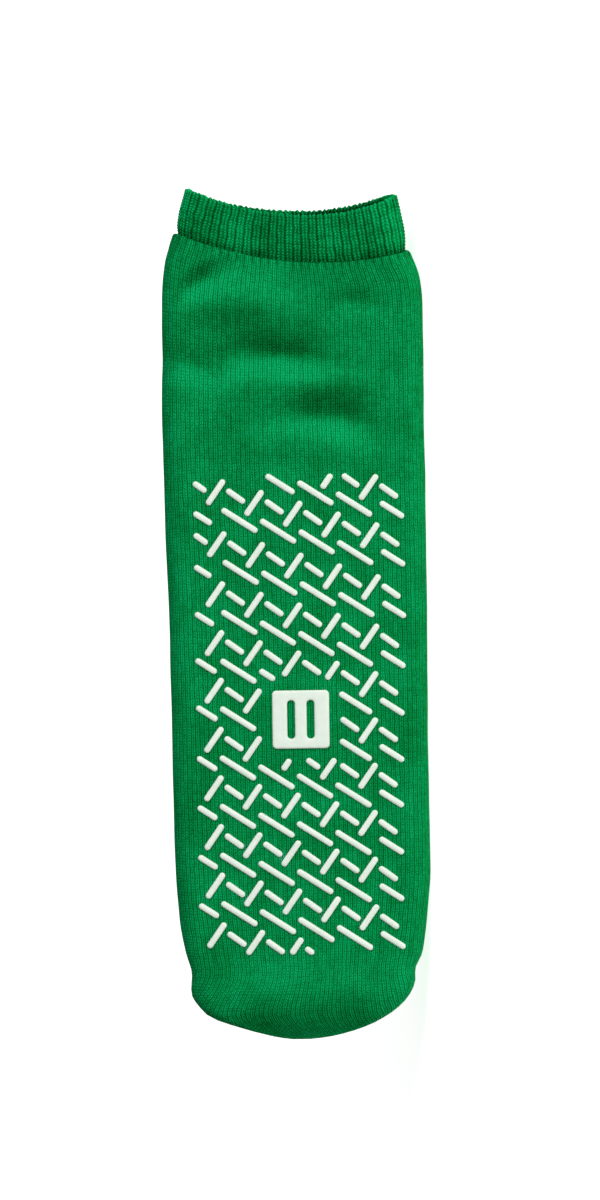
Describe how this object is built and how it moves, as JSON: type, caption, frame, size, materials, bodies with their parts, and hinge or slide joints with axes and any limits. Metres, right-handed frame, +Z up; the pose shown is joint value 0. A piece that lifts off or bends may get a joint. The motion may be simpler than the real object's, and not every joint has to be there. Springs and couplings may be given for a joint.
{
  "type": "slipper sock",
  "caption": "Empty knitted slipper sock lying on its side, open at a ribbed cuff, with a linked toe seam and raised grip bars printed over its sole.",
  "frame": {"origin": "on the floor plane, under the middle of the sock's bounding box", "axes": "+X along the sock from the toe to the collar, the sole face turned to -Y, +Z up across the sock from its floor edge"},
  "size_m": [0.2896, 0.0478, 0.0875],
  "materials": {
    "green_knit": "matte weft-knit cotton, emerald green",
    "green_rib": "matte ribbed knit, darker emerald green",
    "grip_print": "soft satin gel print, off-white"
  },
  "bodies": {
    "root": {"knit_upper_and_sole": "green_knit", "ribbed_cuff": "green_rib", "toe_seam": "green_knit", "size_pad": "grip_print", "tread_row_01": "grip_print", "tread_row_02": "grip_print", "tread_row_03": "grip_print", "tread_row_04": "grip_print", "tread_row_05": "grip_print", "tread_row_06": "grip_print", "tread_row_07": "grip_print", "tread_row_08": "grip_print", "tread_row_09": "grip_print", "tread_row_10": "grip_print", "tread_row_11": "grip_print", "tread_row_12": "grip_print"}
  },
  "joints": []
}
